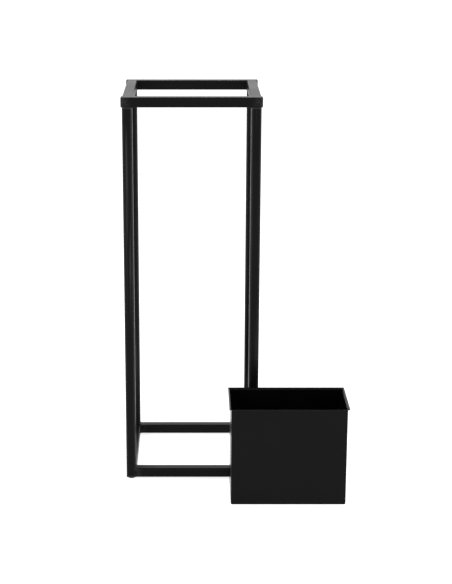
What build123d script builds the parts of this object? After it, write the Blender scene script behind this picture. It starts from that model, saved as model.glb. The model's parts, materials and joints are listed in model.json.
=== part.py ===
"""Umbrella stand: a welded frame of square steel tube with a loose sheet-steel container.

Units are millimetres and +Z is up. The floor is Z = 0. The origin lies on the floor, at the
middle of the box that holds the frame and the container together.
"""

import math
import os

from build123d import *

# Frame, measured over its tubes
frame_width = 205.0
frame_depth = 205.0
frame_height = 600.0

# Square tube
tube_size = 15.0
tube_wall = 1.0
tube_corner_radius = 1.5

# Plastic inserts: caps in the ends of the top rails, glides in the feet of the posts
insert_clearance = 0.05
insert_depth = 12.0
insert_core_inset = 1.0
insert_rib_thickness = 1.2
insert_rib_count = 3
cap_thickness = 2.0
cap_edge_radius = 1.4
glide_height = 3.0
glide_edge_inset = 0.5
glide_flat_diameter = 7.0

# Container of folded sheet. It goes in from the side and stands inside the bottom ring, and its lip
# hangs over the side rails.
container_depth = 94.0
container_height = 153.0
container_clearance = 1.0
sheet_thickness = 0.8
corner_radius = 2.4
bottom_bend_radius = 2.0
lip_width = 3.0
lip_tilt = 21.0
lip_bend_angle = 51.0
lip_bend_width = 1.3
lip_rim = 0.1
lip_corner_radius = 1.2
floor_flange_width = 9.0
base_clearance = 0.15

# Where the container stands when it is taken out: in front of the right-hand posts
container_side_offset = 145.0
container_stand_off = 2.0

# Sizes that follow from the ones above
tube_bore = tube_size - 2 * tube_wall
tube_bore_radius = max(tube_corner_radius - tube_wall, 0.25)
glide_diameter = tube_size - 2 * glide_edge_inset
opening_width = frame_width - 2 * tube_size
opening_depth = frame_depth - 2 * tube_size
post_height = frame_height - tube_size - glide_height
container_width = opening_width - 2 * container_clearance
lip_outer_width = container_width + 2 * lip_width
lip_outer_depth = container_depth + 2 * lip_width

# The frame and the container are placed so that the origin is at the middle of both
left_reach = frame_width / 2 + cap_thickness
right_reach = container_side_offset + lip_outer_width / 2
back_reach = frame_depth / 2
front_reach = frame_depth / 2 + container_stand_off + lip_outer_depth
frame_x = (left_reach - max(right_reach, left_reach)) / 2
frame_y = (front_reach - back_reach) / 2
container_x = frame_x + container_side_offset
container_y = frame_y - frame_depth / 2 - container_stand_off - lip_outer_depth / 2

# Centre lines of the tubes
post_x = (frame_width - tube_size) / 2
post_y = (frame_depth - tube_size) / 2
top_rail_z = frame_height - tube_size / 2
bottom_rail_z = glide_height + tube_size / 2

os.makedirs("parts", exist_ok=True)


def save(piece, name):
    """Label a finished piece and write it to its own STEP file."""
    piece.part.label = name
    export_step(piece.part, f"parts/{name}.step")


def square_tube(section, length):
    """Straight square tube whose first end lies on the section plane."""
    with BuildPart() as tube:
        with BuildSketch(section):
            RectangleRounded(tube_size, tube_size, tube_corner_radius)
            RectangleRounded(tube_bore, tube_bore, tube_bore_radius, mode=Mode.SUBTRACT)
        extrude(amount=length)
    return tube


def ribbed_plug(mouth):
    """Plug that grips the tube's bore: a core with square ribs. Z of the mouth points out of the tube."""
    rib_size = tube_bore - 2 * insert_clearance
    core_size = rib_size - 2 * insert_core_inset
    rib_pitch = insert_depth / insert_rib_count
    with BuildPart() as plug:
        with BuildSketch(mouth):
            Rectangle(core_size, core_size)
        extrude(amount=-insert_depth)
        for rib in range(insert_rib_count):
            with BuildSketch(mouth.offset(-rib_pitch * (rib + 0.5))):
                RectangleRounded(rib_size, rib_size, tube_bore_radius)
            extrude(amount=-insert_rib_thickness)
    return plug


# Posts: from the glides up to the underside of the top ring
post_places = {
    "front_left": (frame_x - post_x, frame_y - post_y),
    "front_right": (frame_x + post_x, frame_y - post_y),
    "back_left": (frame_x - post_x, frame_y + post_y),
    "back_right": (frame_x + post_x, frame_y + post_y),
}
for corner, (x, y) in post_places.items():
    save(square_tube(Plane((x, y, glide_height)), post_height), f"{corner}_post")

# Rails that run left to right: full length over the posts at the top, between the posts at the bottom
for side, y in {"front": frame_y - post_y, "back": frame_y + post_y}.items():
    top_end = Plane((frame_x - frame_width / 2, y, top_rail_z), z_dir=(1, 0, 0))
    save(square_tube(top_end, frame_width), f"top_{side}_rail")
    bottom_end = Plane((frame_x - opening_width / 2, y, bottom_rail_z), z_dir=(1, 0, 0))
    save(square_tube(bottom_end, opening_width), f"bottom_{side}_rail")

# Rails that run front to back, between the others
for side, x in {"left": frame_x - post_x, "right": frame_x + post_x}.items():
    for level, z in {"top": top_rail_z, "bottom": bottom_rail_z}.items():
        rail_end = Plane((x, frame_y - opening_depth / 2, z), z_dir=(0, 1, 0))
        save(square_tube(rail_end, opening_depth), f"{level}_{side}_rail")

# End caps of the top front and back rails
for corner, (x, y) in post_places.items():
    outward = -1 if corner.endswith("left") else 1
    tube_end = Plane((frame_x + outward * frame_width / 2, y, top_rail_z), z_dir=(outward, 0, 0))
    cap_plug = ribbed_plug(tube_end)
    with BuildPart() as end_cap:
        with BuildSketch(tube_end):
            RectangleRounded(tube_size, tube_size, tube_corner_radius)
        extrude(amount=cap_thickness)
        outer_face = end_cap.faces().sort_by(Axis.X)[0 if outward < 0 else -1]
        fillet(outer_face.edges(), cap_edge_radius)
        add(cap_plug.part)
    save(end_cap, f"top_{corner}_end_cap")

# Foot glides: a domed head with a small flat to stand on, under each post
for corner, (x, y) in post_places.items():
    glide_plug = ribbed_plug(Plane((x, y, glide_height), z_dir=(0, 0, -1)))
    with BuildPart() as glide:
        with BuildSketch(Plane((x, y, 0), x_dir=(1, 0, 0), z_dir=(0, -1, 0))):
            with BuildLine():
                head_rim = (glide_diameter / 2, glide_height)
                flat_rim = (glide_flat_diameter / 2, 0)
                Polyline(flat_rim, (0, 0), (0, glide_height), head_rim)
                TangentArc(flat_rim, head_rim, tangent=(1, 0))
            make_face()
        revolve(axis=Axis((x, y, 0), (0, 0, 1)))
        add(glide_plug.part)
    save(glide, f"{corner}_foot_glide")

# Container walls: one folded band. At the mouth a lip is turned out in two bends and rises a little
# to its edge, and below a flange is turned in. Each lip step is an outward reach and a height.
container_floor = Plane((container_x, container_y, 0))
inner_width = container_width - 2 * sheet_thickness
inner_depth = container_depth - 2 * sheet_thickness
tilt = math.radians(lip_tilt)
bend = math.radians(lip_bend_angle)
edge_reach = lip_width - sheet_thickness * math.sin(tilt)
edge_height = container_height - sheet_thickness * math.cos(tilt)
bend_height = edge_height - (lip_width - lip_bend_width) * math.tan(tilt)
lip_foot = bend_height - lip_bend_width * math.tan(bend)
bend_gap = sheet_thickness / math.cos(bend)
inner_bend_reach = (
    container_height - edge_reach * math.tan(tilt) - lip_foot - bend_gap
) / (math.tan(bend) - math.tan(tilt))
inner_bend_height = container_height - (edge_reach - inner_bend_reach) * math.tan(tilt)
inner_foot = lip_foot + bend_gap - sheet_thickness * math.tan(bend)
outside_steps = (
    (0, lip_foot, corner_radius),
    (lip_bend_width, bend_height, (corner_radius + lip_corner_radius) / 2),
    (lip_width, edge_height, lip_corner_radius),
    (edge_reach, container_height, lip_corner_radius),
)
inside_steps = (
    (-sheet_thickness, inner_foot, corner_radius - sheet_thickness),
    (inner_bend_reach, inner_bend_height, lip_corner_radius),
    (edge_reach - lip_rim, container_height, lip_corner_radius),
)
with BuildPart() as container_hollow:
    with BuildSketch(container_floor.offset(sheet_thickness)):
        RectangleRounded(inner_width, inner_depth, corner_radius - sheet_thickness)
    extrude(amount=inner_foot - sheet_thickness)
    fillet(container_hollow.faces().sort_by(Axis.Z)[0].edges(), bottom_bend_radius - sheet_thickness)
    for reach, height, radius in inside_steps:
        with BuildSketch(container_floor.offset(height)):
            RectangleRounded(container_width + 2 * reach, container_depth + 2 * reach, radius)
    loft(ruled=True)

with BuildPart() as container_walls:
    with BuildSketch(container_floor):
        RectangleRounded(container_width, container_depth, corner_radius)
    extrude(amount=lip_foot)
    fillet(container_walls.faces().sort_by(Axis.Z)[0].edges(), bottom_bend_radius)
    for reach, height, radius in outside_steps:
        with BuildSketch(container_floor.offset(height)):
            RectangleRounded(container_width + 2 * reach, container_depth + 2 * reach, radius)
    loft(ruled=True)
    add(container_hollow.part, mode=Mode.SUBTRACT)
    with BuildSketch(container_floor):
        Rectangle(container_width - 2 * floor_flange_width, container_depth - 2 * floor_flange_width)
    extrude(amount=sheet_thickness, mode=Mode.SUBTRACT)
save(container_walls, "container_walls")

# Container base: a plate that lies on the walls' bottom flange
base_inset = bottom_bend_radius - sheet_thickness + base_clearance
with BuildPart() as container_base:
    with BuildSketch(container_floor.offset(sheet_thickness)):
        RectangleRounded(inner_width - 2 * base_inset, inner_depth - 2 * base_inset, corner_radius)
    extrude(amount=sheet_thickness)
save(container_base, "container_base")
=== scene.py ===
# %% [markdown]
# # A black steel umbrella stand
#
# The stand is two things: a tall frame welded from square steel tube, and a loose container of
# folded sheet that catches the drips. The container goes in between the posts from the side, and
# its lip reaches out above the side rails. Here it is taken out and stands in front of the
# right-hand posts.
#
# The CAD model already holds every tube, cap, glide and sheet at its real size, so those stay as
# they are. This script adds what a drawing leaves out: the weld beads that join the tubes, the
# seams of the container, the powder coat, the moulded plastic, and a plain studio to see them in.

import json
import math

import bmesh
import bpy
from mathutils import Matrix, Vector


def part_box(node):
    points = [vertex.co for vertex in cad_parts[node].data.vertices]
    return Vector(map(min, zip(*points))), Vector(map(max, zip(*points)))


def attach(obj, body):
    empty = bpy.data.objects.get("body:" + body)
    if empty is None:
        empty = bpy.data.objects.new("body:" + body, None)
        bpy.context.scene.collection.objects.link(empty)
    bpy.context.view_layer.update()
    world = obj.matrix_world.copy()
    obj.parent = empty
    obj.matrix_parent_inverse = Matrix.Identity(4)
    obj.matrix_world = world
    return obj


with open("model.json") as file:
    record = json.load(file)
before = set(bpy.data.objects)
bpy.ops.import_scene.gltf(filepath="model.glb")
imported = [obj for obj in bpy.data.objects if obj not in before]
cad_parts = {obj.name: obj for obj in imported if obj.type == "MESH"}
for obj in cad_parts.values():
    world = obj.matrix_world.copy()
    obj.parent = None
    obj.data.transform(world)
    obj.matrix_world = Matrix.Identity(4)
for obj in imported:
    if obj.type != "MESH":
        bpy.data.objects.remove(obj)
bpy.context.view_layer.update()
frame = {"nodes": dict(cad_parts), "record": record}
mm = 0.001

# %% [markdown]
# ## Sizes to work from
#
# Nothing is placed by eye. The posts' boxes give the tube's size and the four corners, a rail's
# box gives the height of its ring, and the container's box gives its lip. A few sizes can't be
# read from a box, such as the rounding of the tube's long edges, so they are named here.

# %% Measure the tubes and the container
tube_edge_radius = 1.5 * mm
sheet = 0.8 * mm
lip_width = 3 * mm
post_box = {
    f"{end}_{side}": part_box(f"{end}_{side}_post")
    for end in ("front", "back")
    for side in ("left", "right")
}
frame_low, frame_high = post_box["front_left"][0], post_box["back_right"][1]
frame_middle = (frame_low + frame_high) / 2
tube = post_box["front_left"][1].x - frame_low.x
ring_heights = {level: [p.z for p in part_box(f"{level}_front_rail")] for level in ("top", "bottom")}
container_low, container_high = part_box("container_walls")
base_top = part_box("container_base")[1].z
print("tube", round(tube / mm, 1), "mm, top of the ring at", round(ring_heights["top"][1] / mm), "mm")

# %% [markdown]
# ## Camera
#
# The stand is looked at from a little above its top and straight on, so that the top ring shows
# its opening and the container shows its inside. A long lens from two metres keeps the posts
# nearly upright, as in a catalogue picture. The camera faces the frame squarely, so its
# level rails stay level. The container makes the whole group wider to the right, and a small
# sideways lens shift brings the group to the middle of the picture without turning the camera.

# %% Place the camera
camera_back = 2.1285
camera_aside = 4 * mm
camera_height = 0.9033
camera_tilt_down = math.radians(15.70)
camera_data = bpy.data.cameras.new("camera")
camera_data.lens = 90
camera_data.sensor_width = 36
camera_data.shift_x = 0.054
camera_data.clip_end = 200
camera = bpy.data.objects.new("camera", camera_data)
camera.location = (frame_middle.x + camera_aside, frame_low.y - camera_back, camera_height)
camera.rotation_euler = (math.pi / 2 - camera_tilt_down, 0, 0)
bpy.context.scene.collection.objects.link(camera)
bpy.context.scene.camera = camera
print("camera", round(camera_back, 2), "m in front of the frame")

# %% [markdown]
# ## Helpers for shader nodes
#
# Every finish below is a few nodes wired together. A few helpers keep that readable: one adds
# a node and wires or sets its inputs, others do a step of arithmetic or a fade between two limits,
# and one starts a group with named sockets. A group is a finish's building block, made once and used
# with other values.

# %% Node helpers


def add_node(tree, kind, settings=None, inputs=None):
    """Add a node with its settings. An input gets a link if it is given a socket, or else a value."""
    made = tree.nodes.new(kind)
    for setting, value in (settings or {}).items():
        setattr(made, setting, value)
    for name, value in (inputs or {}).items():
        if isinstance(value, bpy.types.NodeSocket):
            tree.links.new(value, made.inputs[name])
        else:
            made.inputs[name].default_value = value
    return made


def math_step(tree, operation, *terms):
    """The result of one step of arithmetic on numbers or sockets."""
    return add_node(tree, "ShaderNodeMath", {"operation": operation}, dict(enumerate(terms))).outputs[0]


def vector_node(tree, operation, inputs):
    """One step of arithmetic on vectors."""
    return add_node(tree, "ShaderNodeVectorMath", {"operation": operation}, inputs).outputs


def fade(tree, value, low, high, at_low=0.0, at_high=1.0):
    """A share that runs from one value to another while the given value goes from low to high."""
    limits = {"From Min": low, "From Max": high, "To Min": at_low, "To Max": at_high}
    return add_node(tree, "ShaderNodeMapRange", None, {"Value": value, **limits}).outputs[0]


def start_group(name, inputs, outputs):
    """A shader node group: its tree, the sockets it reads and the sockets it gives."""
    group = bpy.data.node_groups.new(name, "ShaderNodeTree")
    sockets = group.interface
    for socket_name, (kind, value) in inputs.items():
        socket = sockets.new_socket(socket_name, in_out="INPUT", socket_type=f"NodeSocket{kind}")
        socket.default_value = value
    for socket_name, kind in outputs.items():
        sockets.new_socket(socket_name, in_out="OUTPUT", socket_type=f"NodeSocket{kind}")
    reads = group.nodes.new("NodeGroupInput").outputs
    gives = group.nodes.new("NodeGroupOutput").inputs
    return group, reads, gives


def noise(tree, size, detail, roughness=0.5):
    """Noise in the piece's own space, whose features are about the given size in millimetres."""
    place = add_node(tree, "ShaderNodeTexCoord").outputs["Object"]
    scale = math_step(tree, "DIVIDE", 1 / mm, size)
    inputs = {"Vector": place, "Scale": scale, "Detail": detail, "Roughness": roughness}
    return add_node(tree, "ShaderNodeTexNoise", None, inputs).outputs["Fac"]


# %% [markdown]
# ## Effect: surface relief
#
# Powder coat is plastic powder melted onto steel. It flows into a faint orange peel, about two
# millimetres from wave to wave, with a finer grain on top. Moulded plastic has a grain too, left
# by the spark-eroded mould. The mesh could be displaced, but these waves are only hundredths of a
# millimetre high, so a height for a bump node is right. Sizes and heights are in millimetres.

# %% Surface relief group
relief, relief_in, relief_out = start_group(
    "surface_relief",
    {
        "Wave Size": ("Float", 2.2),
        "Wave Height": ("Float", 0.02),
        "Grain Size": ("Float", 0.5),
        "Grain Height": ("Float", 0.01),
    },
    {"Height": "Float"},
)
waves = noise(relief, relief_in["Wave Size"], detail=1.0)
grain = noise(relief, relief_in["Grain Size"], detail=2.0)
wave_height = math_step(relief, "MULTIPLY", waves, relief_in["Wave Height"])
grain_height = math_step(relief, "MULTIPLY", grain, relief_in["Grain Height"])
in_millimetres = math_step(relief, "ADD", wave_height, grain_height)
relief.links.new(math_step(relief, "MULTIPLY", in_millimetres, mm), relief_out["Height"])
print(relief.name, "gives a height in metres")

# %% [markdown]
# ## Effect: cloudiness
#
# A sprayed or moulded surface is never quite even. The film is a little thicker here and thinner
# there, which changes its gloss and its black by a few percent over a hand's breadth. One slow
# noise drives both, so that a lighter patch is also a rougher one, as on the real coat.

# %% Cloudiness group
cloud, cloud_in, cloud_out = start_group(
    "cloudiness",
    {
        "Color": ("Color", (0.01, 0.01, 0.01, 1)),
        "Roughness": ("Float", 0.4),
        "Patch Size": ("Float", 70.0),
        "Color Change": ("Float", 0.5),
        "Roughness Change": ("Float", 0.1),
    },
    {"Color": "Color", "Roughness": "Float"},
)
swing = math_step(cloud, "SUBTRACT", noise(cloud, cloud_in["Patch Size"], detail=5.0), 0.5)
lighter = math_step(cloud, "MULTIPLY_ADD", swing, cloud_in["Color Change"], 1.0)
tinted = vector_node(cloud, "SCALE", {0: cloud_in["Color"], "Scale": lighter})
rougher = math_step(cloud, "MULTIPLY_ADD", swing, cloud_in["Roughness Change"], cloud_in["Roughness"])
cloud.links.new(tinted[0], cloud_out["Color"])
cloud.links.new(rougher, cloud_out["Roughness"])
print(cloud.name, "gives", [socket.name for socket in cloud_out if socket.name])

# %% [markdown]
# ## Effect: edges
#
# On a cut or folded edge the melted powder draws back and leaves a thinner film, and no real edge
# is perfectly sharp. The mask lightens the colour there, partly for that film and partly as a
# painted highlight for the bright line that a rounded edge catches. The Bevel node looks at the mesh
# around each point and gives the normal that a small rounding would have. Where that normal differs from
# the face's own, there is an edge, which makes the mask. The mask has a radius of its own, because the
# thin film and the painted highlight reach further from the edge than the edge is round.

# %% Edge group
edges, edges_in, edges_out = start_group(
    "edges",
    {"Radius": ("Float", 0.4), "Reach": ("Float", 0.4), "Strength": ("Float", 6.0)},
    {"Mask": "Float", "Normal": "Vector"},
)
radius = math_step(edges, "MULTIPLY", edges_in["Radius"], mm)
rounded = add_node(edges, "ShaderNodeBevel", {"samples": 6}, {"Radius": radius}).outputs["Normal"]
reach = math_step(edges, "MULTIPLY", edges_in["Reach"], mm)
wide = add_node(edges, "ShaderNodeBevel", {"samples": 8}, {"Radius": reach}).outputs["Normal"]
own_normal = add_node(edges, "ShaderNodeNewGeometry").outputs["Normal"]
likeness = vector_node(edges, "DOT_PRODUCT", {0: wide, 1: own_normal})["Value"]
turned = math_step(edges, "SUBTRACT", 1.0, likeness)
clamped_product = {"operation": "MULTIPLY", "use_clamp": True}
mask = add_node(edges, "ShaderNodeMath", clamped_product, {0: turned, 1: edges_in["Strength"]})
edges.links.new(mask.outputs[0], edges_out["Mask"])
edges.links.new(rounded, edges_out["Normal"])
print(edges.name, "gives a mask and a rounded normal")

# %% [markdown]
# ## Effect: dust
#
# Even a new black stand carries a little pale dust on the faces that look up, because black hides
# nothing. The mask is the upward part of the normal, broken up by a fine noise.

# %% Dust group
dust, dust_in, dust_out = start_group(
    "dust",
    {"Amount": ("Float", 0.05), "Speck Size": ("Float", 1.2)},
    {"Mask": "Float"},
)
face_normal = add_node(dust, "ShaderNodeNewGeometry").outputs["Normal"]
upward = add_node(dust, "ShaderNodeSeparateXYZ", None, {0: face_normal}).outputs["Z"]
level = fade(dust, upward, 0.6, 1.0)
specks = noise(dust, dust_in["Speck Size"], detail=4.0, roughness=0.7)
settled = fade(dust, specks, 0.45, 0.75)
patchy = math_step(dust, "MULTIPLY", level, settled)
dust.links.new(math_step(dust, "MULTIPLY", patchy, dust_in["Amount"]), dust_out["Mask"])
print(dust.name, "gives a mask")

# %% [markdown]
# ## Effect: draw lines and painted streaks
#
# Square tube is rolled from strip, and the rollers leave faint ridges along its whole length,
# which the height bumps. The mask paints a slightly lighter line on each ridge: a painted highlight
# streak that stands for the reflections running along the tube. The noise is squeezed
# along the tube, which stretches its spots into lines. The lines come and go, so a second, slower
# noise fades them in and out.

# %% Draw line and painted streak group
lines, lines_in, lines_out = start_group(
    "roller_ridges_and_painted_streaks",
    {
        "Squeeze": ("Vector", (1, 1, 0.01)),
        "Spacing": ("Float", 2.6),
        "Line Height": ("Float", 0.03),
        "Amount": ("Float", 0.25),
    },
    {"Height": "Float", "Mask": "Float"},
)
line_place = add_node(lines, "ShaderNodeTexCoord").outputs["Object"]
squeezed = vector_node(lines, "MULTIPLY", {0: line_place, 1: lines_in["Squeeze"]})
line_scale = math_step(lines, "DIVIDE", 1 / mm, lines_in["Spacing"])
line_inputs = {"Vector": squeezed[0], "Scale": line_scale, "Detail": 2.0, "Roughness": 0.6}
ridges = add_node(lines, "ShaderNodeTexNoise", None, line_inputs).outputs["Fac"]
raised = fade(lines, ridges, 0.54, 0.66)
line_stretch = 120
comes_and_goes = fade(lines, noise(lines, line_stretch, detail=1.0), 0.4, 0.65)
shown = math_step(lines, "MULTIPLY", raised, comes_and_goes)
# Painted highlight streaks: this mask lightens the colour along the ridges.
lines.links.new(math_step(lines, "MULTIPLY", shown, lines_in["Amount"]), lines_out["Mask"])
line_height = math_step(lines, "MULTIPLY", ridges, lines_in["Line Height"])
lines.links.new(math_step(lines, "MULTIPLY", line_height, mm), lines_out["Height"])
print(lines.name, "gives a height and a mask")

# %% [markdown]
# ## Effect: dressed ends
#
# The welds at the ends of the top rails are dressed with a grinding disc before coating. The coat
# lies on the grinding marks there and looks speckled. The mask is highest at both ends of a piece,
# measured along the piece's own box, and a fine noise breaks it up.

# %% Dressed end group
ends, ends_in, ends_out = start_group(
    "dressed_ends",
    {
        "Axis": ("Vector", (1, 0, 0)),
        "Reach": ("Float", 0.07),
        "Speck Size": ("Float", 1.6),
        "Amount": ("Float", 0.9),
    },
    {"Mask": "Float"},
)
own_box = add_node(ends, "ShaderNodeTexCoord").outputs["Generated"]
along = vector_node(ends, "DOT_PRODUCT", {0: own_box, 1: ends_in["Axis"]})["Value"]
from_middle = math_step(ends, "ABSOLUTE", math_step(ends, "SUBTRACT", along, 0.5))
from_end = math_step(ends, "SUBTRACT", 0.5, from_middle)
near_end = fade(ends, from_end, 0.0, ends_in["Reach"], at_low=1.0, at_high=0.0)
end_specks = fade(ends, noise(ends, ends_in["Speck Size"], detail=3.0), 0.45, 0.65)
speckled = math_step(ends, "MULTIPLY", near_end, end_specks)
ends.links.new(math_step(ends, "MULTIPLY", speckled, ends_in["Amount"]), ends_out["Mask"])
print(ends.name, "gives a mask")

# %% [markdown]
# ## A finish from its groups
#
# Coat and plastic are wired the same way: cloudiness gives the colour and roughness, the edge
# mask lightens the edges as thin film and painted highlight, dust lightens what looks up, and the relief
# bumps the rounded normal.
# One function does that wiring, and each finish then has its own values. The shader itself stays
# in the material, with its own plain sockets set directly. All the blacks share two more colours:
# a lighter black for thin film, ground ends and painted highlights, and house dust.

# %% Finish function
# Lighter black for thin film and ground ends, and for the painted highlights along edges and draw lines.
thin_film_and_highlight = (0.030, 0.030, 0.031, 1)
pale_dust = (0.5, 0.49, 0.47, 1)


def use_group(tree, group, values):
    """Place a group in a material, with this material's values for the named inputs."""
    placed = add_node(tree, "ShaderNodeGroup", {"node_tree": group})
    for name, value in values.items():
        placed.inputs[name].default_value = value
    return placed.outputs


def mix_color(tree, share, first, second):
    """The first colour, or the second one where the share is 1."""
    mixer = add_node(tree, "ShaderNodeMix", {"data_type": "RGBA"}, {0: share, 6: first, 7: second})
    return mixer.outputs[2]


def black_finish(
    name, shade, relief_values, edge_values, dust_amount, specular, line_values=None, end_values=None
):
    """A black dielectric finish: its own black and gloss, edges, dust and relief."""
    material = bpy.data.materials.new(name)
    material.use_nodes = True
    tree = material.node_tree
    surface = tree.nodes["Principled BSDF"]
    surface.inputs["Specular IOR Level"].default_value = specular
    base = use_group(tree, cloud, shade)
    edge = use_group(tree, edges, edge_values)
    powder = use_group(tree, dust, {"Amount": dust_amount})
    # Painted highlight: the edge mask lightens the colour along edges, partly for thin film and partly
    # for the bright line of a rounded edge.
    color = mix_color(tree, edge["Mask"], base["Color"], thin_film_and_highlight)
    height = use_group(tree, relief, relief_values)["Height"]
    if line_values:
        line_relief_and_streaks = use_group(tree, lines, line_values)
        # Painted highlight streaks: the line mask lightens the colour along the tube.
        color = mix_color(tree, line_relief_and_streaks["Mask"], color, thin_film_and_highlight)
        height = math_step(tree, "ADD", height, line_relief_and_streaks["Height"])
    if end_values:
        dressed = use_group(tree, ends, end_values)
        color = mix_color(tree, dressed["Mask"], color, thin_film_and_highlight)
    dusted = mix_color(tree, powder["Mask"], color, pale_dust)
    bump_inputs = {"Strength": 1.0, "Distance": 1.0, "Height": height, "Normal": edge["Normal"]}
    bump = add_node(tree, "ShaderNodeBump", None, bump_inputs)
    tree.links.new(dusted, surface.inputs["Base Color"])
    tree.links.new(base["Roughness"], surface.inputs["Roughness"])
    tree.links.new(bump.outputs["Normal"], surface.inputs["Normal"])
    return material


# %% [markdown]
# ## Powder coat
#
# The black itself is a dielectric film, so it isn't metallic: a very dark base under a soft
# sheen. Frame and container get the same powder, but it flows out better on the container's smooth
# flat sheet, which is a little calmer and glossier than the tubes. The posts have the clearest draw
# lines, lightened as painted highlight streaks, and a wide painted highlight along their edges
# where the film lies thin. The rails hardly show either.

# %% Powder coat for the frame and the container
black = (0.0012, 0.0012, 0.0013, 1)
coat_specular = 0.08
squeeze = {"upright": (1, 1, 0.008), "crosswise": (0.008, 1, 1), "lengthwise": (1, 0.008, 1)}
# Edge bands of lighter colour: the posts get a wide, strong painted highlight along their edges, and the
# rails a narrow band that is partly thin film and partly painted highlight.
narrow_thin_edge_and_highlight = {"Reach": 1.0, "Strength": 3.0}
wide_edge_highlight = {"Reach": 3.0, "Strength": 25.0}
edge_band_and_highlight = {"upright": wide_edge_highlight, "crosswise": narrow_thin_edge_and_highlight, "lengthwise": narrow_thin_edge_and_highlight}
# How strongly the tubes of each direction paint highlight streaks; the posts the most.
streak_highlight_amount = {"upright": 0.5, "crosswise": 0.08, "lengthwise": 0.15}
tube_coat = {
    direction: black_finish(
        f"tube_coat_{direction}",
        {"Color": black, "Roughness": 0.36},
        {"Wave Height": 0.02, "Grain Height": 0.012},
        {"Radius": 1.0, **edge_band_and_highlight[direction]},
        dust_amount=0.02,
        specular=coat_specular,
        line_values={"Squeeze": along_tube, "Amount": streak_highlight_amount[direction]},
        end_values={"Axis": (1, 0, 0)} if direction == "crosswise" else None,
    )
    for direction, along_tube in squeeze.items()
}
weld_coat = black_finish(
    "weld_coat",
    {"Color": black, "Roughness": 0.34},
    {"Wave Size": 1.4, "Wave Height": 0.02, "Grain Height": 0.012},
    {"Radius": 0.2, "Reach": 0.2},
    dust_amount=0.01,
    specular=coat_specular,
)
container_coat = black_finish(
    "sheet_coat",
    {"Color": black, "Roughness": 0.22, "Patch Size": 60, "Color Change": 1.5},
    {"Wave Height": 0.018, "Grain Height": 0.010},
    {"Radius": 0.3, "Reach": 0.3},
    dust_amount=0.01,
    specular=coat_specular,
)
print("coats:", [coat.name for coat in tube_coat.values()], container_coat.name)

# %% [markdown]
# ## Moulded plastic
#
# The end caps and the foot glides are injection moulded. Their skin is duller than the coat and
# its grain is coarser, because the mould was spark eroded. The glides rub on the floor, so they
# are smoother and a touch glossier.

# %% Plastic for the caps and the glides
cap_plastic = black_finish(
    "moulded_cap",
    {"Color": (0.005, 0.005, 0.005, 1), "Roughness": 0.5, "Patch Size": 4, "Color Change": 3.0},
    {"Wave Size": 1.2, "Wave Height": 0.02, "Grain Size": 0.45, "Grain Height": 0.03},
    {"Radius": 0.2, "Reach": 0.2, "Strength": 2.0},
    dust_amount=0.03,
    specular=0.2,
)
glide_plastic = black_finish(
    "moulded_glide",
    {"Color": (0.004, 0.004, 0.004, 1), "Roughness": 0.42, "Patch Size": 8},
    {"Wave Size": 1.5, "Wave Height": 0.02, "Grain Size": 0.4, "Grain Height": 0.015},
    {"Radius": 0.2, "Reach": 0.2, "Strength": 2.0},
    dust_amount=0.0,
    specular=0.2,
)
print("plastics:", cap_plastic.name, glide_plastic.name)

# %% [markdown]
# ## Finishes on the CAD pieces
#
# Each CAD piece arrives with one slot, named as in the record. The new material goes into that
# slot, and the mesh isn't touched.

# %% Give the CAD pieces their finishes
finishes = {"container_coat": container_coat, "cap_plastic": cap_plastic, "glide_plastic": glide_plastic}
slot_names = {part["node"]: part["material_slot"] for part in frame["record"]["subparts"]}
for name, piece in frame["nodes"].items():
    if name.endswith("_post"):
        finish = tube_coat["upright"]
    elif name.endswith(("_front_rail", "_back_rail")):
        finish = tube_coat["crosswise"]
    elif name.endswith("_rail"):
        finish = tube_coat["lengthwise"]
    else:
        finish = finishes[slot_names[name]]
    piece.material_slots[0].material = finish
print(len(frame["nodes"]), "CAD pieces finished")

# %% [markdown]
# ## Weld beads
#
# The tubes are cut square and welded. In an inside corner the welder leaves a small fillet of
# metal with ripples, one for each dab of wire, and the powder coat softens them. A bump map can't
# fill a corner, so the beads are real meshes. Each is a ring of points swept along the corner
# line: the ring is a slightly bulged triangle, and its size swells and shrinks with the ripples.

# %% Sweep a ring of points into a closed skin


def skin(mesh, rings, closed=False):
    """Join rings of points one after another into faces, and close the two ends."""
    rows = [[mesh.verts.new(point) for point in ring] for ring in rings]
    pairs = list(zip(rows, rows[1:] + rows[:1])) if closed else list(zip(rows, rows[1:]))
    for row, following in pairs:
        for first in range(len(row)):
            second = (first + 1) % len(row)
            mesh.faces.new((row[first], row[second], following[second], following[first]))
    if not closed:
        mesh.faces.new(rows[0][::-1])
        mesh.faces.new(rows[-1])


def new_piece(name, mesh, finish, body):
    """Turn a bmesh into an object with its finish, and let it ride on a body."""
    bmesh.ops.recalc_face_normals(mesh, faces=mesh.faces)
    data = bpy.data.meshes.new(name)
    mesh.to_mesh(data)
    mesh.free()
    data.shade_smooth()
    data.materials.append(finish)
    piece = bpy.data.objects.new(name, data)
    bpy.context.scene.collection.objects.link(piece)
    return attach(piece, body)


# %% [markdown]
# ## A fillet bead
#
# The welder's hand moves in small steps, so the bead is a row of crescents. A ripple function makes
# each ring a few percent larger or smaller, and trails in the middle of the ring, which bends the
# ripples into crescents. Both ends taper, as the arc starts and stops there. One function gives a
# single ring, because the container's round weld uses it too.

# %% A fillet bead in an inside corner
bead_leg = 2.0 * mm
side_leg = 1.1 * mm
bead_bulge = 0.45
bead_sink = 0.3 * mm
ripple_pitch = 1.3 * mm
ripple_depth = 0.07
bead_step = 0.2 * mm
bead_parts = 6
bead_tip = 0.12
bead_taper = 0.8
print("beads have legs of", round(bead_leg / mm, 1), "and", round(side_leg / mm, 1), "mm")


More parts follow.
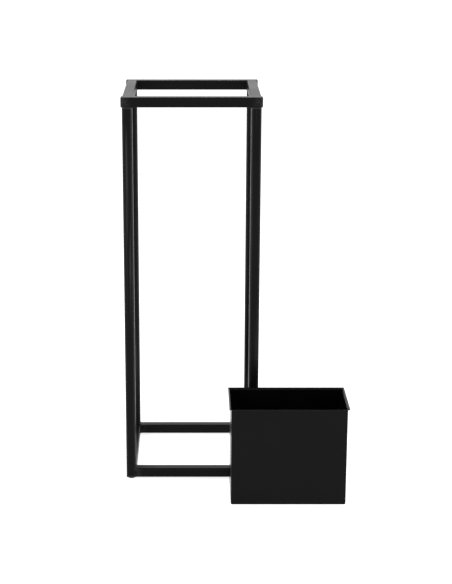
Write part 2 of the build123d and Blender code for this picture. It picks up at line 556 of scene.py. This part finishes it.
def ripple(distance, angle):
    """How much a ripple swells the bead here. The ripples trail back in the middle, as a crescent."""
    trail = 0.35 * math.sin(2 * angle) ** 2
    return 1 + ripple_depth * abs(math.sin(math.pi * (distance / ripple_pitch - trail)))


def bead_ring(centre, leg_a, leg_b, leg, distance, parts=bead_parts):
    """One ring of a bead: a bulged triangle between two faces along leg_a and leg_b."""
    ring = [centre - bead_sink * (leg_a + leg_b)]
    for angle in (math.radians(90 * part / parts) for part in range(parts + 1)):
        reach = (1 - bead_bulge) / (math.cos(angle) + math.sin(angle)) + bead_bulge
        reach *= leg * ripple(distance, angle)
        ring.append(centre + reach * (math.cos(angle) * leg_a + math.sin(angle) * leg_b))
    return ring


def bead(mesh, start, end, leg_a, leg_b, leg=bead_leg):
    """A weld from start to end, in the corner between two faces along leg_a and leg_b."""
    run = end - start
    steps = max(8, round(run.length / bead_step))
    rings = []
    for step in range(steps + 1):
        share = step / steps
        to_end = min(share, 1 - share) * run.length
        swell = math.sqrt(min(1, bead_tip + to_end / (bead_taper * leg)))
        centre = start + share * run
        rings.append(bead_ring(centre, leg_a, leg_b, leg * swell, share * run.length))
    skin(mesh, rings)


# %% [markdown]
# ## A ground seam
#
# Where one tube ends level with another, the weld is ground flush and only a faint band is left in
# the groove beside the tube's rounded edge. The seam is a flat ribbon laid in that groove: its
# profile gives how far across each point lies and how high, and a slow wave makes it uneven.

# %% A ground seam across a flush joint
seam_overlap = 0.9 * mm
seam_height = 0.06 * mm
seam_root = 1.3 * mm
seam_profile = (
    (-seam_overlap, -0.5),
    (-0.3 * mm, 0.7),
    (0.3 * mm, 1.1),
    (0.9 * mm, 1.0),
    (tube_edge_radius + 0.1 * mm, 0.7),
    (tube_edge_radius + seam_overlap, -0.5),
)
print("seams are", round((tube_edge_radius + 2 * seam_overlap) / mm, 1), "mm wide")


def seam(mesh, start, end, toward_round, outward, sunk=0.0):
    """Fill the groove beside a tube's rounded edge, level with the faces or sunk below them."""
    run = end - start
    steps = max(8, round(run.length / (2 * bead_step)))
    rings = []
    for step in range(steps + 1):
        share = step / steps
        wave = 1 + 0.25 * math.sin(share * 23) + 0.15 * math.sin(share * 57 + 1)
        swell = min(1, 6 * min(share, 1 - share))
        centre = start + share * run
        ring = [centre + 0.5 * tube_edge_radius * toward_round - seam_root * outward]
        for reach, height in seam_profile:
            top = height * seam_height * wave * swell - (1 - swell) * 0.5 * mm
            if 0 < reach < tube_edge_radius:
                top -= sunk
            ring.append(centre + reach * toward_round + top * outward)
        rings.append(ring)
    skin(mesh, rings)


# %% [markdown]
# ## Welded corners
#
# Each of the frame's eight corners has the same three tubes: a post and two rails. So one function
# makes any corner from two signs and a level. Two fillet beads lie between the post and the rails,
# a third stands between the two rails, and two seams on the outside are ground level with the
# tubes before coating. The seam under the top rail is left a little low and reads as a dark line.

# %% Build the eight welded corners
X, Y, Z = Vector((1, 0, 0)), Vector((0, 1, 0)), Vector((0, 0, 1))
bead_margin = 1.2 * mm
post_seam_margin = 0.6 * mm
low_seam_depth = 1.1 * mm


def point(x, y, z):
    return Vector((x, y, z))


def welded_corner(level, corner):
    """The beads and seams of one corner of the frame, as one piece."""
    post_low, post_high = post_box[corner]
    inward_x = X if corner.endswith("left") else -X
    inward_y = Y if corner.startswith("front") else -Y
    outer_x, inner_x = (post_low.x, post_high.x) if inward_x.x > 0 else (post_high.x, post_low.x)
    outer_y, inner_y = (post_low.y, post_high.y) if inward_y.y > 0 else (post_high.y, post_low.y)
    ring_low, ring_high = ring_heights[level]
    joint_z, along_post = (ring_low, -Z) if level == "top" else (ring_high, Z)
    start_x = outer_x + bead_margin * inward_x.x
    start_y = outer_y + bead_margin * inward_y.y
    inner_joint = point(inner_x, inner_y, joint_z)
    mesh = bmesh.new()
    bead(mesh, point(inner_x, start_y, joint_z), inner_joint, inward_x, along_post, side_leg)
    bead(mesh, point(start_x, inner_y, joint_z), inner_joint, inward_y, along_post, side_leg)
    between_rails = point(inner_x, inner_y, ring_low + 0.2 * mm)
    bead(mesh, between_rails, point(inner_x, inner_y, ring_high - 0.9 * mm), inward_x, inward_y)
    if level == "top":
        front_end = point(inner_x - post_seam_margin * inward_x.x, outer_y, joint_z)
        seam(mesh, point(start_x, outer_y, joint_z), front_end, Z, -inward_y, sunk=low_seam_depth)
        top_end = point(inner_x - bead_margin * inward_x.x, inner_y, ring_high)
        seam(mesh, point(start_x, inner_y, ring_high), top_end, -inward_y, Z)
    else:
        low, high = ring_low + bead_margin, ring_high - bead_margin
        seam(mesh, point(inner_x, outer_y, low), point(inner_x, outer_y, high), -inward_x, -inward_y)
        seam(mesh, point(outer_x, inner_y, low), point(outer_x, inner_y, high), -inward_y, -inward_x)
    return new_piece(f"weld_{level}_{corner}", mesh, weld_coat, "frame")


welds = [welded_corner(level, corner) for level in ring_heights for corner in post_box]
print(len(welds), "welded corners,", sum(len(weld.data.polygons) for weld in welds), "faces")

# %% [markdown]
# ## Container seams
#
# The container has to hold water, so its base plate is welded to the walls all the way round on
# the inside, and the folded band is closed by one upright weld in a back corner, where it is seen
# least. The round weld follows the inside of the walls, with small arcs in the corners.

# %% Weld the base plate to the walls
floor_leg = 1.9 * mm
floor_parts = 4
floor_step = 0.35 * mm
wall_inset = lip_width + sheet
inner_low = Vector((container_low.x + wall_inset, container_low.y + wall_inset, base_top))
inner_high = Vector((container_high.x - wall_inset, container_high.y - wall_inset, base_top))
corner_radius = 1.6 * mm


def rounded_loop(low, high, radius, step):
    """Points and inward directions round a rectangle with rounded corners."""
    corners = (
        (high.x - radius, high.y - radius, 0),
        (low.x + radius, high.y - radius, 90),
        (low.x + radius, low.y + radius, 180),
        (high.x - radius, low.y + radius, 270),
    )
    arcs = []
    for x, y, first_angle in corners:
        for part in range(7):
            turn = math.radians(first_angle + 15 * part)
            away = Vector((math.cos(turn), math.sin(turn), 0))
            arcs.append((Vector((x, y, low.z)) + radius * away, -away))
    loop = []
    for (place, inward), (next_place, next_inward) in zip(arcs, arcs[1:] + arcs[:1]):
        parts = max(1, round((next_place - place).length / step))
        loop += [(place.lerp(next_place, part / parts), inward) for part in range(parts)]
    return loop


def floor_weld():
    """A closed fillet bead between the base plate and the walls."""
    mesh = bmesh.new()
    rings = []
    travelled, last_place = 0.0, None
    for place, inward in rounded_loop(inner_low, inner_high, corner_radius, floor_step):
        travelled += (place - last_place).length if last_place else 0.0
        last_place = place
        rings.append(bead_ring(place, inward, Z, floor_leg, travelled, floor_parts))
    skin(mesh, rings, closed=True)
    return new_piece("container_floor_weld", mesh, container_coat, "container")


floor_seam = floor_weld()
print(floor_seam.name, len(floor_seam.data.polygons), "faces")

# %% [markdown]
# ## Closing weld
#
# The band's two ends meet in the back right corner. The weld runs from the floor weld to just below
# the lip, where the sheet starts to bend outward. It is the same bead as on the frame, only thinner.

# %% Close the band with an upright weld
closing_leg = 1.5 * mm
below_lip = lip_width + 3 * mm
mesh = bmesh.new()
closing_corner = point(inner_high.x, inner_high.y, 0) - 0.3 * corner_radius * (X + Y)
bead(
    mesh,
    closing_corner + (base_top + floor_leg) * Z,
    closing_corner + (container_high.z - below_lip) * Z,
    -X,
    -Y,
    leg=closing_leg,
)
closing_weld = new_piece("container_closing_weld", mesh, container_coat, "container")
print(closing_weld.name, len(closing_weld.data.polygons), "faces")

# %% [markdown]
# ## Floor
#
# Black satin steel has hardly any colour of its own: what shows is what it reflects. So the studio
# is plain and pale all round. The floor is the white acrylic of a shooting table, lit from below
# as well, which is how a catalogue washes the shadows out.

# %% Lay the floor
floor_half = 60
floor_mesh = bpy.data.meshes.new("floor")
floor_corners = [(x * floor_half, y * floor_half, 0) for x, y in ((-1, -1), (1, -1), (1, 1), (-1, 1))]
floor_mesh.from_pydata(floor_corners, [], [(0, 1, 2, 3)])
floor = bpy.data.objects.new("floor", floor_mesh)
bpy.context.scene.collection.objects.link(floor)
acrylic = bpy.data.materials.new("white_acrylic")
acrylic.use_nodes = True
acrylic_surface = acrylic.node_tree.nodes["Principled BSDF"]
acrylic_surface.inputs["Base Color"].default_value = (0.6, 0.6, 0.6, 1)
acrylic_surface.inputs["Roughness"].default_value = 0.9
acrylic_surface.inputs["Specular IOR Level"].default_value = 0.0
acrylic_surface.inputs["Emission Color"].default_value = (1, 1, 1, 1)
acrylic_surface.inputs["Emission Strength"].default_value = 0.75
floor_mesh.materials.append(acrylic)
print("floor", 2 * floor_half, "m square")

# %% [markdown]
# ## Light
#
# The surround is a soft white that is brightest low down, where a backdrop is lit. One large softbox
# hangs overhead and two narrow ones stand at the sides. Faces seen at a grazing angle, such as the
# top of the ring, pick up the pale surround, and faces that look at the camera stay nearly black.

# %% Light the studio
world = bpy.data.worlds.new("studio")
world.use_nodes = True
bpy.context.scene.world = world
surround = world.node_tree.nodes["Background"]
direction = add_node(world.node_tree, "ShaderNodeTexCoord").outputs["Generated"]
upward_part = add_node(world.node_tree, "ShaderNodeSeparateXYZ", None, {0: direction}).outputs["Z"]
falloff = {"Value": upward_part, "From Min": 0.27, "From Max": 0.47, "To Min": 1.75, "To Max": 0.65}
smooth = {"interpolation_type": "SMOOTHSTEP"}
brightness = add_node(world.node_tree, "ShaderNodeMapRange", smooth, falloff)
world.node_tree.links.new(brightness.outputs[0], surround.inputs["Strength"])
surround.inputs["Color"].default_value = (1, 1, 1, 1)


def softbox(name, place, aim, width, height, power):
    """An area light of a given width and height at a place, turned to face the aim."""
    light = bpy.data.lights.new(name, "AREA")
    light.shape = "RECTANGLE"
    light.size = width
    light.size_y = height
    light.energy = power
    lamp = bpy.data.objects.new(name, light)
    lamp.location = place
    lamp.rotation_mode = "QUATERNION"
    lamp.rotation_quaternion = (Vector(aim) - Vector(place)).to_track_quat("-Z", "Y")
    bpy.context.scene.collection.objects.link(lamp)
    return lamp


softbox("overhead_softbox", (0, 0.2, 2.6), (0, 0, 0), width=2.4, height=2.4, power=20)
for side in (-1, 1):
    softbox("side_strip", (2.0 * side, -1.3, 1.3), (0, 0, 0.4), width=0.3, height=1.8, power=30)
bpy.context.scene.view_settings.view_transform = "Standard"
